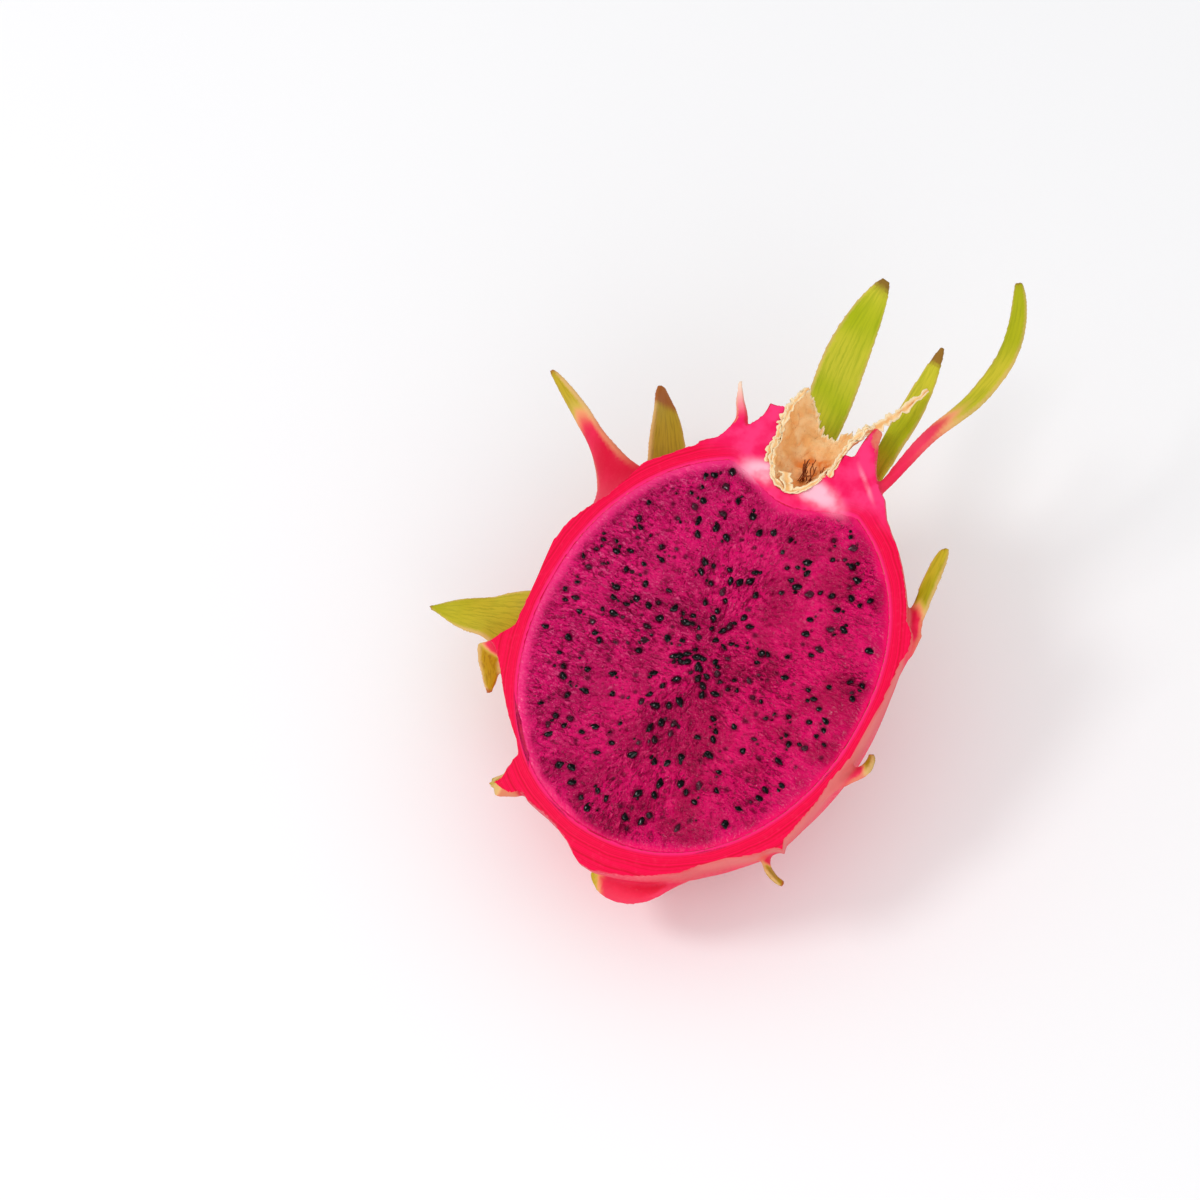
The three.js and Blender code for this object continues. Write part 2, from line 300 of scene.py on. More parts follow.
def alongPath(points, t):
    # a smooth line through the points, t running from 0 to 1 with its length
    points = np.array(points)
    at = np.concatenate([[0], np.cumsum(np.linalg.norm(np.diff(points, axis=0), axis=1))])
    at /= at[-1]
    slope = np.gradient(points, at, axis=0, edge_order=2)
    i = np.clip(np.searchsorted(at, t, side="right") - 1, 0, len(at) - 2)
    step = (at[i + 1] - at[i])[:, None]
    k = (t - at[i])[:, None] / step
    return (points[i] * (1 + 2 * k) * (1 - k) ** 2 + slope[i] * step * k * (1 - k) ** 2
            + points[i + 1] * k ** 2 * (3 - 2 * k) + slope[i + 1] * step * k ** 2 * (k - 1))


def bladeWidth(t, scale):
    if scale["flare"]:
        return (1 - t) ** scale["flare"] * (1 - 0.25 * t)
    s = (t + blade["stub"]) / (1 + blade["stub"])
    m = (scale["widest"] + blade["stub"]) / (1 + blade["stub"])
    return ((s / m) ** m * ((1 - s) / (1 - m)) ** (1 - m)) ** blade["slimness"]


def bladeGrid(scale, index):
    # a flat grid drawn out along the blade's centre line, cupped towards the fruit and a little wavy
    obj, flat = newGrid(blade["across"], blade["along"])
    s = flat[:, 0]
    t = (flat[:, 1] + 1) / 2 * 0.985
    start = aroundAxis(*scale["root"], float(skinRadius(scale["root"][1])) - scale["sunk"])
    points = [start] + [aroundAxis(*place) for place in scale["path"]]
    centre = alongPath(points, t)
    along = alongPath(points, np.minimum(t + 0.01, 1)) - alongPath(points, np.maximum(t - 0.01, 0))
    along /= np.linalg.norm(along, axis=1)[:, None]
    outwards = centre * (1, 0, 1)
    side = np.cross(along, outwards)
    side /= np.linalg.norm(side, axis=1)[:, None]
    turn = np.radians(np.interp(t, (0, 0.5), scale["twist"]))
    side = side * np.cos(turn)[:, None] + np.cross(along, side) * np.sin(turn)[:, None]
    out = np.cross(side, along)
    skirt, reach = scale["skirt"]
    across = s / 2 * (scale["width"] * bladeWidth(t, scale) + skirt * np.exp(-t / reach))
    ripple = blade["wave"] * s ** 2 * latticeNoise(np.stack([t * 5 + index * 9.1, s, s * 0], 1), 21)
    lift = ripple * smoothStep(0.1, 0.5, t) - across ** 2 / (2 * blade["cupping"])
    setCoords(obj, (centre + side * across[:, None] + out * lift[:, None]) * mm)
    return obj, s, t


def thickBlade(scale, obj, s, t):
    group = obj.vertex_groups.new(name="thick")
    weights = (1 - scale["taper"] * t) * (1 - blade["edgeThinning"] * np.abs(s) ** 3)
    for i, w in enumerate(weights):
        group.add([i], float(w), "REPLACE")
    applyModifier(obj, "SOLIDIFY", thickness=scale["thick"] * mm, offset=0, vertex_group="thick",
                  thickness_vertex_group=0, use_even_offset=False)
    return obj


def makeScales():
    made, marks = [], []
    for index, scale in enumerate(scales):
        scale = {**commonScale, **scale}
        obj, s, t = bladeGrid(scale, index)
        green = smoothStep(scale["green"][0], scale["green"][1], t + 0.06 * np.abs(s))
        brown = smoothStep(scale["brown"], scale["brown"] + 0.05, t / 0.985)
        edge = smoothStep(1 - 1.3 * scale["margin"], 1.001 - 0.6 * scale["margin"], np.abs(s))
        edge *= smoothStep(0.12, 0.4, t) * (scale["margin"] > 0)
        lime = np.full(len(t), scale["lime"])
        pale = smoothStep(scale["pale"], scale["pale"] + 0.5, t)
        across = s * scale["width"] / 2
        marks.append(np.column_stack([coordsOf(obj), green, brown, edge, lime, pale, across, t * 10 + index]))
        made.append(thickBlade(scale, obj, s, t))
    return made, np.vstack(marks)


peel = {"voxel": 0.47, "smoothing": 4, "filletSmoothing": 14, "faces": 192000, "gap": -0.1, "rimDepth": 15}
# how far the cut edge of the skin stands out from the even outline, in mm, by angle round the cut face
rimShape = [
    (5, -1.5), (15, -1.1), (22, -0.6), (26, 0.8), (31, 0.8), (35, -0.8), (47, -1.2), (60, -1.2),
    (64, -0.8), (68, 1.0), (74, 0), (104, 0), (108, 0.9), (112, 0.7), (115, -1.0), (125, -1.5),
    (130, -1.2), (135.5, -0.4), (141, -1.6), (149, -1.9), (157, -0.4), (163, 0.7), (170, 0.8),
    (181, -0.4), (189, -0.9), (198.5, -0.6), (201, 1.7), (203.6, 4.1), (206, 2.2), (212, 0.1),
    (216, -0.9), (221, -2.0), (227.5, -3.2), (233, -4.1), (239, -3.6), (243, -1.5), (249, -1.0),
    (254, -2.2), (258.5, -2.3), (263.5, -1.0), (266.5, 0.7), (269, 2.0), (272, 2.3), (276, 1.6),
    (283, 0.5), (288, -0.4), (293, -0.9), (298, -2.2), (305, -1.9), (312, -0.2), (317, 0.6),
    (318.2, 1.2), (319.3, 2.3), (320.5, 0.5), (327, -0.7), (333, -1.2), (340.5, -2.2), (349, -1.6),
]


def skinProfile():
    side = [(float(skinRadius(y)), float(y)) for y in spread(-body["stemReach"], 52.5, body["profileSteps"])]
    side[0] = (0, side[0][1])
    shoulder = body["neckTop"]
    return side + [(15.7, shoulder - 3.6), (13.9, shoulder - 1), (11.6, shoulder), (0, shoulder)]


def craterProfile():
    wall = [(float(craterRadius(y)), float(y)) for y in spread(body["craterBottom"], body["craterTop"], 20)]
    return wall + [(body["craterRadius"] + 0.5, body["craterTop"] + 12), (0, body["craterTop"] + 12)]


def pulpSide(grow=0):
    # the flesh's outline from the stem end to the middle of its dimple
    ys = spread(-pulp["stemReach"], pulp["flowerReach"], 54)
    side = []
    for y in ys:
        reach = pulp["stemReach"] if y < 0 else pulp["flowerReach"]
        r = float(superellipse(y, pulp["radius"], reach, pulp["roundness"]))
        if y < 0 or r > pulp["dimpleRadius"]:
            side.append((r + grow * r / pulp["radius"], y + grow * y / reach))
    side[0] = (0, side[0][1])
    brink, shoulder = side[-1]
    for share in spread(0, 1, 12)[::-1][1:]:
        rise = (shoulder - pulp["dimpleBottom"] - grow) * float(smoothStep(0, 1, share))
        side.append((brink * share, pulp["dimpleBottom"] + grow + rise))
    return side


def nearestMarks(co, marks):
    # the marks at the three nearest points of the blades, the nearer the more
    tree = KDTree(len(marks))
    for i, row in enumerate(marks):
        tree.insert(row[:3], i)
    tree.balance()
    found = [tree.find_n(c, 3) for c in co]
    away = np.array([[f[2] for f in three] for three in found]) / mm
    share = 1 / (away + 0.02) ** 2
    share /= share.sum(1)[:, None]
    near = marks[np.array([[f[1] for f in three] for three in found])]
    return (near * share[:, :, None]).sum(1), away[:, 0]


def aboveSkin(p):
    # how far in mm a point stands out from the even skin
    out = np.hypot(p[:, 0], p[:, 2]) - skinRadius(np.clip(p[:, 1], -56.4, 60)) + np.maximum(0, p[:, 1] - 58)
    return np.where(p[:, 1] < -56, np.maximum(0, -56 - p[:, 1]), out)


def shapeRim(co):
    # the cut edge of the skin is drawn in and out, less and less further down the skin
    p = co / mm
    angle = np.degrees(np.arctan2(p[:, 1], p[:, 0])) % 360
    offset = np.interp(angle, [r[0] for r in rimShape], [r[1] for r in rimShape], period=360)
    skinward = smoothStep(0.4, 3.0, distanceToPulp(p))
    near = np.exp(-(p[:, 2] / peel["rimDepth"]) ** 2) * skinward * smoothStep(16, 7, aboveSkin(p))
    away = np.hypot(p[:, 0], p[:, 1])
    return co * np.column_stack([1 + offset * near / away, 1 + offset * near / away, np.ones(len(p))])


def peelMarks(obj, near, away):
    # each vertex on a scale takes its marks, which fade out over the bare skin
    p = coordsOf(obj) / mm
    on = smoothStep(3.4, 2.2, away) * smoothStep(-1.0, 1.6, aboveSkin(p))
    for column, name in enumerate(("green", "brown", "edge", "lime", "pale"), 3):
        setAttribute(obj, name, near[:, column] * on)
    setAttribute(obj, "across", near[:, 8])
    setAttribute(obj, "along", near[:, 9])
    setAttribute(obj, "leafy", on)
    depth = distanceToPulp(p)
    setAttribute(obj, "depth", depth)
    nearCut = smoothStep(-13, -2, p[:, 2]) * smoothStep(5, 30, p[:, 0])
    setAttribute(obj, "salmon", nearCut * smoothStep(0.5, 0, on))
    beside = smoothStep(19, 13, np.abs(p[:, 0] + 1)) * smoothStep(38, 42, p[:, 1])
    setAttribute(obj, "collar", np.maximum(smoothStep(43, 50, p[:, 1]), beside))
    setAttribute(obj, "blush", flowerBlush(p))


def flowerBlush(p):
    # the paler flesh and peel on both sides of the flower's foot, and along the right of the neck
    x, y = p[:, 0], p[:, 1]
    left = ((x + 7.5) / np.where(x < -7.5, 7, 4)) ** 2 + ((y - 45.6 - 0.1 * (x + 7.5)) / 3) ** 2
    right = ((x - 4.5) / np.where(x > 4.5, 8.5, 5)) ** 2 + ((y - 46.3 + 0.025 * (x - 4.5) ** 2) / 3.2) ** 2
    strip = ((x - 15) / 4.5) ** 2 + ((y - 53.4 + 0.9 * (x - 15)) / 1.1) ** 2
    return np.maximum(np.maximum(np.exp(-left), np.exp(-right)), 0.5 * np.exp(-strip))


def pulpRadiusAt(angle):
    # distance from the middle of the cut face to the flesh's outline, for angles from +x
    c, s = np.cos(angle), np.sin(angle)
    reach = np.where(s < 0, pulp["stemReach"], pulp["flowerReach"])
    n = pulp["roundness"]
    r = (np.abs(c / pulp["radius"]) ** n + np.abs(s / reach) ** n) ** (-1 / n)
    for _ in range(8):
        share = np.clip(np.abs(r * c) / pulp["dimpleRadius"], 0, 1)
        top = pulp["dimpleBottom"] + (pulp["dimpleShoulder"] - pulp["dimpleBottom"]) * smoothStep(0, 1, share)
        r = np.where((s > 0.3) & (share < 1), np.minimum(r, top / np.maximum(s, 0.3)), r)
    return r


def distanceToPulp(p):
    # in mm, on the cut face, outwards from the flesh's outline
    angle = np.arctan2(p[:, 1], p[:, 0])
    return np.hypot(p[:, 0], p[:, 1]) - pulpRadiusAt(angle)


def subtract(obj, tool):
    applyModifier(obj, "BOOLEAN", object=tool, operation="DIFFERENCE", solver="EXACT")
    bpy.data.objects.remove(tool)


def smoothWhere(obj, where, iterations):
    group = obj.vertex_groups.new(name="smoothed")
    group.add([int(i) for i in np.flatnonzero(where)], 1, "REPLACE")
    applyModifier(obj, "SMOOTH", factor=0.5, iterations=iterations, vertex_group="smoothed")
    obj.vertex_groups.clear()


def buildPeel():
    skin = spunBody(skinProfile(), body["spinSteps"])
    subtract(skin, spunBody(pulpSide(peel["gap"]), body["spinSteps"]))
    crater = spunBody(craterProfile(), 64)
    crater.data.transform(Matrix.Translation((body["craterShift"] * mm, 0, 0)))
    subtract(skin, crater)
    blades, marks = makeScales()
    bpy.ops.object.select_all(action="DESELECT")
    bpy.ops.mesh.primitive_cube_add(size=0.4, location=(0, 0, 0.2))
    subtract(skin, bpy.context.object)
    for obj in blades:
        cutAtFace(obj)
    joinInto(skin, blades)
    applyModifier(skin, "REMESH", mode="VOXEL", voxel_size=peel["voxel"] * mm)
    print("peel remeshed", len(skin.data.polygons))
    co = coordsOf(skin)
    near, away = nearestMarks(co, marks)
    cut = co[:, 2] > -0.4 * peel["voxel"] * mm
    below = ~cut
    stands = aboveSkin(co / mm)
    fillet = below & (away < 4.5) & (stands > -1.2) & (stands < 3.2)
    smoothWhere(skin, fillet, peel["filletSmoothing"])
    smoothWhere(skin, np.full(len(co), True), peel["smoothing"])
    co = coordsOf(skin)
    co[cut, 2] = 0
    setCoords(skin, shapeRim(co))
    peelMarks(skin, near, away)
    thinOut(skin, (stands < -2) & below & (distanceToCavity(co / mm) < 1), 0.06)
    kept = coordsOf(skin)[:, 2] > -0.6 * mm
    triangles = sum(len(f.vertices) - 2 for f in skin.data.polygons)
    thinOut(skin, ~kept, (peel["faces"] - 2 * kept.sum()) / (triangles - 2 * kept.sum()))
    print("peel triangles", sum(len(f.vertices) - 2 for f in skin.data.polygons))
    return skin


def distanceToCavity(p):
    # how far a point is from the flesh's round outside, in mm, within the body of the fruit
    reach = np.where(p[:, 1] < 0, pulp["stemReach"], pulp["flowerReach"])
    flat = np.hypot(p[:, 0], p[:, 2]) / pulp["radius"]
    n = pulp["roundness"]
    size = (flat ** n + np.abs(p[:, 1] / reach) ** n) ** (1 / n)
    return np.abs(size - 1) * pulp["radius"]


def thinOut(obj, where, ratio):
    # fewer faces where they are not needed
    pickOnly(obj)
    bpy.ops.object.mode_set(mode="EDIT")
    bpy.ops.mesh.select_mode(type="VERT")
    bpy.ops.mesh.select_all(action="DESELECT")
    bpy.ops.object.mode_set(mode="OBJECT")
    obj.data.vertices.foreach_set("select", where)
    bpy.ops.object.mode_set(mode="EDIT")
    bpy.ops.mesh.decimate(ratio=min(1, ratio))
    bpy.ops.object.mode_set(mode="OBJECT")


def paintCut(obj, skinMaterial, cutMaterial):
    # the cut face takes its own material
    obj.data.materials.clear()
    obj.data.materials.append(skinMaterial)
    obj.data.materials.append(cutMaterial)
    n = len(obj.data.polygons)
    centre, normal = np.empty(n * 3), np.empty(n * 3)
    obj.data.polygons.foreach_get("center", centre)
    obj.data.polygons.foreach_get("normal", normal)
    onFace = (centre.reshape(-1, 3)[:, 2] > -0.12 * mm) & (normal.reshape(-1, 3)[:, 2] > 0.7)
    obj.data.polygons.foreach_set("material_index", onFace.astype(np.int32))


class NodeTree:
    # a few short words for making and linking shader nodes
    def __init__(self, name):
        self.material = bpy.data.materials.new(name)
        self.material.use_nodes = True
        self.nodes = self.material.node_tree.nodes
        self.links = self.material.node_tree.links
        self.shader = self.nodes["Principled BSDF"]

    def add(self, kind, inputs=None, **settings):
        node = self.nodes.new("ShaderNode" + kind)
        for key, value in settings.items():
            setattr(node, key, value)
        for key, value in (inputs or {}).items():
            self.feed(node.inputs[key], value)
        return node

    def feed(self, socket, value):
        if isinstance(value, bpy.types.NodeSocket):
            self.links.new(value, socket)
        else:
            socket.default_value = value

    def attribute(self, name, output="Fac"):
        return self.add("Attribute", attribute_name=name).outputs[output]

    def noise(self, vector, size, detail=3, roughness=0.5, distortion=0):
        return self.add("TexNoise", {"Vector": vector, "Scale": 1 / (size * mm), "Detail": detail,
                                     "Roughness": roughness, "Distortion": distortion}).outputs["Fac"]

    def math(self, operation, a, b=0.5, c=0.5, clamp=False):
        return self.add("Math", {0: a, 1: b, 2: c}, operation=operation, use_clamp=clamp).outputs[0]

    def times(self, a, b):
        return self.math("MULTIPLY", a, b)

    def band(self, value, low, high, outLow=0.0, outHigh=1.0):
        return self.add("MapRange", {"Value": value, "From Min": low, "From Max": high, "To Min": outLow,
                                     "To Max": outHigh}, interpolation_type="SMOOTHSTEP").outputs[0]

    def mix(self, factor, a, b, blend="MIX"):
        node = self.add("Mix", data_type="RGBA", blend_type=blend)
        for socket, value in ((node.inputs[0], factor), (node.inputs[6], a), (node.inputs[7], b)):
            self.feed(socket, value)
        return node.outputs[2]

    def bump(self, height, strength, distance, normal=None):
        inputs = {"Height": height, "Strength": strength, "Distance": distance * mm}
        if normal is not None:
            inputs["Normal"] = normal
        return self.add("Bump", inputs).outputs[0]

    def finish(self, **inputs):
        for key, value in inputs.items():
            self.feed(self.shader.inputs[key.replace("_", " ")], value)
        return self.material


def rgb(r, g, b):
    # screen colours, 0 to 255, as the shader's linear ones
    linear = [((c / 255 + 0.055) / 1.055) ** 2.4 if c > 10 else c / 255 / 12.92 for c in (r, g, b)]
    return (*linear, 1)


def skinMaterial():
    n = NodeTree("skin")
    place = n.add("TexCoord").outputs["Object"]
    blotch = n.noise(place, 14, 4)
    cloud = n.noise(place, 34, 2)
    pink = n.mix(n.band(blotch, 0.35, 0.68), rgb(216, 8, 54), rgb(240, 34, 82))
    pink = n.mix(n.band(cloud, 0.48, 0.75, 0, 0.6), pink, rgb(246, 84, 112))
    pebble = n.add("TexVoronoi", {"Vector": place, "Scale": 1 / (0.8 * mm), "Randomness": 1},
                   feature="SMOOTH_F1")
    dots = n.band(pebble.outputs["Distance"], 0.5, 0.12)
    salmon = n.attribute("salmon")
    plain = n.band(n.math("ADD", salmon, n.attribute("leafy")), 0.1, 0.7, 1, 0.06)
    shown = n.times(n.times(dots, plain), n.band(cloud, 0.3, 0.7, 0.1, 0.32))
    pink = n.mix(shown, pink, rgb(252, 148, 158))
    pink = n.mix(n.times(salmon, n.band(blotch, 0.3, 0.6, 0.45, 0.95)), pink, rgb(228, 116, 112))
    green, lime, brown, edge, pale = (n.attribute(a) for a in ("green", "lime", "brown", "edge", "pale"))
    # fine veins run the length of each scale
    drawn = n.add("CombineXYZ", {"X": n.attribute("across"), "Y": n.times(n.attribute("along"), 0.35),
                                 "Z": 0.0}).outputs[0]
    veins = n.add("TexNoise", {"Vector": drawn, "Scale": 1.5, "Detail": 2, "Roughness": 0.6}).outputs["Fac"]
    patches = n.noise(place, 26, 2)
    olive = n.mix(n.band(patches, 0.4, 0.6), rgb(158, 122, 4), rgb(190, 146, 18))
    leaf = n.mix(n.band(patches, 0.4, 0.6), rgb(176, 188, 14), rgb(204, 200, 50))
    leaf = n.mix(n.band(veins, 0.42, 0.66, 0, 0.42), leaf, rgb(142, 162, 14))
    olive = n.mix(n.band(veins, 0.45, 0.66, 0, 0.5), olive, rgb(140, 88, 6))
    tipColour = n.mix(lime, olive, leaf)
    warm = n.mix(n.band(green, 0.0, 0.5), pink, rgb(238, 160, 108))
    warm = n.mix(n.band(green, 0.4, 0.7), warm, rgb(208, 178, 70))
    colour = n.mix(n.band(green, 0.6, 0.98), warm, tipColour)
    colour = n.mix(n.times(edge, n.band(green, 0, 0.6, 0.5, 0.85)), colour, rgb(228, 180, 120))
    colour = n.mix(pale, colour, rgb(250, 222, 196))
    colour = n.mix(n.times(brown, 0.85), colour, n.mix(lime, rgb(176, 78, 28), rgb(132, 82, 40)))
    fine = n.noise(place, 0.5, 3)
    normal = n.bump(n.times(dots, plain), 0.3, 0.14)
    normal = n.bump(fine, 0.2, 0.12, normal)
    return n.finish(Base_Color=colour, Roughness=n.band(blotch, 0.3, 0.7, 0.4, 0.55), Normal=normal,
                    Specular_IOR_Level=0.14)


def rimMaterial():
    n = NodeTree("cut_peel")
    place = n.add("TexCoord").outputs["Object"]
    depth = n.attribute("depth")
    wobble = n.noise(place, 9, 2)
    layer = n.math("MULTIPLY_ADD", wobble, 1.2, depth)
    layers = n.add("CombineXYZ", {"X": layer, "Y": 0.0, "Z": 0.0}).outputs[0]
    lines = n.add("TexNoise", {"Vector": layers, "Scale": 1.6, "Detail": 2, "Roughness": 0.7}).outputs["Fac"]
    collar = n.attribute("collar")
    lines = n.math("MAXIMUM", lines, n.times(collar, 0.6))
    colour = n.mix(n.band(lines, 0.38, 0.56), rgb(218, 0, 50), rgb(246, 0, 72))
    colour = n.mix(n.band(depth, 1.3, 0.1), colour, rgb(250, 36, 118))
    fine = n.noise(place, 1.1, 4, 0.65)
    colour = n.mix(n.band(fine, 0.5, 0.8, 0, 0.25), colour, rgb(250, 60, 104))
    mottle = n.noise(place, 5, 3)
    colour = n.mix(n.times(collar, 0.8), colour, n.mix(n.band(mottle, 0.35, 0.65), rgb(242, 22, 96),
                                                                 rgb(250, 60, 128)))
    blush = n.times(n.attribute("blush"), n.band(mottle, 0.3, 0.6, 0.6, 1.1))
    colour = n.mix(n.band(blush, 0.1, 0.95, 0, 0.9), colour, rgb(253, 196, 214))
    colour = n.mix(n.attribute("pale"), colour, rgb(250, 222, 196))
    normal = n.bump(lines, 0.5, 0.3)
    normal = n.bump(fine, 0.25, 0.15, normal)
    return n.finish(Base_Color=colour, Roughness=0.42, Normal=normal, Specular_IOR_Level=0.1)


flesh = {"cells": 298, "rings": 6, "rollOff": 0.12, "relief": 0.2, "pit": 0.34, "lip": 0.03}


def fleshCoords(u, v):
    # the square grid is pressed into a disc and the disc into the outline of the cut flesh
    x = u * np.sqrt(1 - v * v / 2)
    y = v * np.sqrt(1 - u * u / 2)
    share, angle = np.hypot(x, y), np.arctan2(y, x)
    r = share * pulpRadiusAt(angle)
    return r * np.cos(angle), r * np.sin(angle)


def fibreAngle(x, y):
    # the fibres run outwards from the fruit's long middle, a little astray
    return np.arctan2(0.55 * y, x) + 0.5 * latticeNoise(np.column_stack([x / 9, y / 9, x * 0 + 0.4]), 40)


def combedNoise(x, y, width, length, seed):
    # noise combed along the fibres into short ridges of one width everywhere
    angle = fibreAngle(x, y)
    total = np.zeros(len(x))
    for k in np.linspace(-0.5, 0.5, 6):
        along = np.column_stack([x + k * length * np.cos(angle), y + k * length * np.sin(angle), x * 0])
        turned = along @ np.array([[0.8, 0.6, 0], [-0.6, 0.8, 0], [0, 0, 1]])
        total += latticeNoise(turned / width + 0.37, seed)
    return total / 6 * 1.9


seedSet = {
    "count": 400, "length": 2.7, "width": 1.75, "thick": 1.3,
    "spacing": 2.1, "closest": 1.6, "brokenOff": 1.35, "border": 2.8,
}


def seedSpots():
    # (x, y, size, sunk under the flesh or not), at random, thicker in the middle and along the right
    rng = np.random.default_rng(5)
    # in the middle they lie in short chains that run outwards
    spots = []
    for angle in np.radians((20, 75, 118, 165, 205, 238, 262, 285, 330)):
        reach = rng.uniform(1, 4)
        for _ in range(int(rng.integers(3, 6))):
            x, y = 1 + reach * math.cos(angle), 1 + 1.4 * reach * math.sin(angle)
            spots.append((x, y, rng.uniform(0.55, 1), 0))
            reach += rng.uniform(1.1, 2)
            angle += rng.normal(0, 0.1)
    tries = 0
    while len(spots) < seedSet["count"] and tries < 60000:
        tries += 1
        x, y = rng.uniform(-41, 41), rng.uniform(-50, 48)
        inside = float(pulpRadiusAt(np.array([math.atan2(y, x)]))[0]) - math.hypot(x, y)
        if inside < seedSet["border"] or (y > 37 and abs(x) < 13):
            continue
        crowd = 0.62 + 0.4 * float(latticeNoise(np.array([[x / 12, y / 12, 3.3]]), 31)[0])
        if rng.random() > crowd + 0.2 * (x > 14):
            continue
        near = min((x - a) ** 2 + (y - b) ** 2 for a, b, _, _ in spots)
        if near < (seedSet["closest"] if rng.random() < 0.1 else seedSet["spacing"]) ** 2:
            continue
        veiled = int(rng.random() < 0.2)
        spots.append((x, y, rng.uniform(0.5, 0.75) if veiled else rng.uniform(0.66, 1.1), veiled))
        if rng.random() < 0.3:
            # a broken piece or a small one close by
            turn = rng.uniform(0, 2 * math.pi)
            r = seedSet["brokenOff"]
            spots.append((x + r * math.cos(turn), y + r * math.sin(turn), rng.uniform(0.35, 0.55), 0))
    return np.array(spots)


def buildFlesh(spots):
    obj, flat = newGrid(flesh["cells"], flesh["cells"])
    x, y = fleshCoords(flat[:, 0], flat[:, 1])
    setCoords(obj, np.column_stack([x, y, x * 0]) * mm)
    # the dome under the cut face: its rim is drawn down and in, ring by ring
    bpy.ops.object.mode_set(mode="EDIT")
    bpy.ops.mesh.select_all(action="SELECT")
    bpy.ops.mesh.region_to_loop()
    angles = np.linspace(0, math.pi / 2, flesh["rings"] + 1)
    for a, b in zip(angles, angles[1:-1]):
        drop = pulp["radius"] * (math.sin(a) - math.sin(b)) * mm
        bpy.ops.mesh.extrude_edges_move(TRANSFORM_OT_translate={"value": (0, 0, drop)})
        k = math.cos(b) / math.cos(a)
        bpy.ops.transform.resize(value=(k, k, 1), center_override=(0, 0, 0))
    bpy.ops.mesh.edge_face_add()
    bpy.ops.mesh.select_all(action="SELECT")
    bpy.ops.mesh.normals_make_consistent(inside=False)
    bpy.ops.object.mode_set(mode="OBJECT")
    return shapeFlesh(obj, spots)


def shapeFlesh(obj, spots):
    p = coordsOf(obj) / mm
    face = p[:, 2] > -0.001
    x, y = p[face, 0], p[face, 1]
    inside = -distanceToPulp(p[face])
    slow = latticeNoise(np.column_stack([x / 9, y / 9, x * 0]), 46)
    # the fibres stand up most at the left and towards the stem, and lie almost smooth at the right
    rough = 0.66 + 0.3 * smoothStep(30, -24, x + 0.5 * y)
    rough = rough + 0.35 * np.exp(-(x / 9) ** 2 - (y / 14) ** 2) + 0.42 * slow
    rough = np.clip(rough, 0.2, 1.3) * smoothStep(0.3, 3.2, inside)
    wide, narrow = combedNoise(x, y, 0.9, 2.2, 42), combedNoise(x, y, 0.55, 1.3, 43)
    streak = 0.4 * wide + 0.9 * narrow
    grain = latticeNoise(np.column_stack([x / 0.7, y / 0.7, x * 0]), 45)
    height = flesh["relief"] * rough * (2.2 * streak - 0.8 * np.abs(wide) + 0.5 * grain)
    swell = latticeNoise(np.column_stack([x / 11, y / 11, x * 0]), 47)
    height += (0.05 + 0.2 * smoothStep(0, 6, inside)) * swell
    height -= 0.35 * np.exp(-(x / 6) ** 2) * smoothStep(34, 10, np.abs(y))
    height -= flesh["rollOff"] * smoothStep(1.3, 0, inside) ** 2
    tree = KDTree(len(spots))
    for i, (a, b, _, _) in enumerate(spots):
        tree.insert((a, b, 0), i)
    tree.balance()
    found = [tree.find((a, b, 0)) for a, b in zip(x, y)]
    nearest = spots[[f[1] for f in found]]
    d = np.array([f[2] for f in found]) / nearest[:, 2]
    bare = 1 - nearest[:, 3]
    pit = np.exp(-(d / 1.05) ** 4)
    halo = np.exp(-((d - 1.45) / 0.4) ** 2)
    height += (flesh["lip"] * halo - flesh["pit"] * pit) * (0.25 + 0.75 * bare)
    p[face, 2] = height + 0.03
    setCoords(obj, p * mm)
    marks = {"inside": inside, "pit": pit, "rough": rough, "streak": streak, "bare": bare,
             "left": smoothStep(26, -34, x - 0.25 * y), "blush": flowerBlush(p[face]),
             "sideways": np.cos(fibreAngle(x, y)) ** 2}
    for name, values in marks.items():
        whole = np.zeros(len(p))
        whole[face] = values
        setAttribute(obj, name, whole)
    return obj


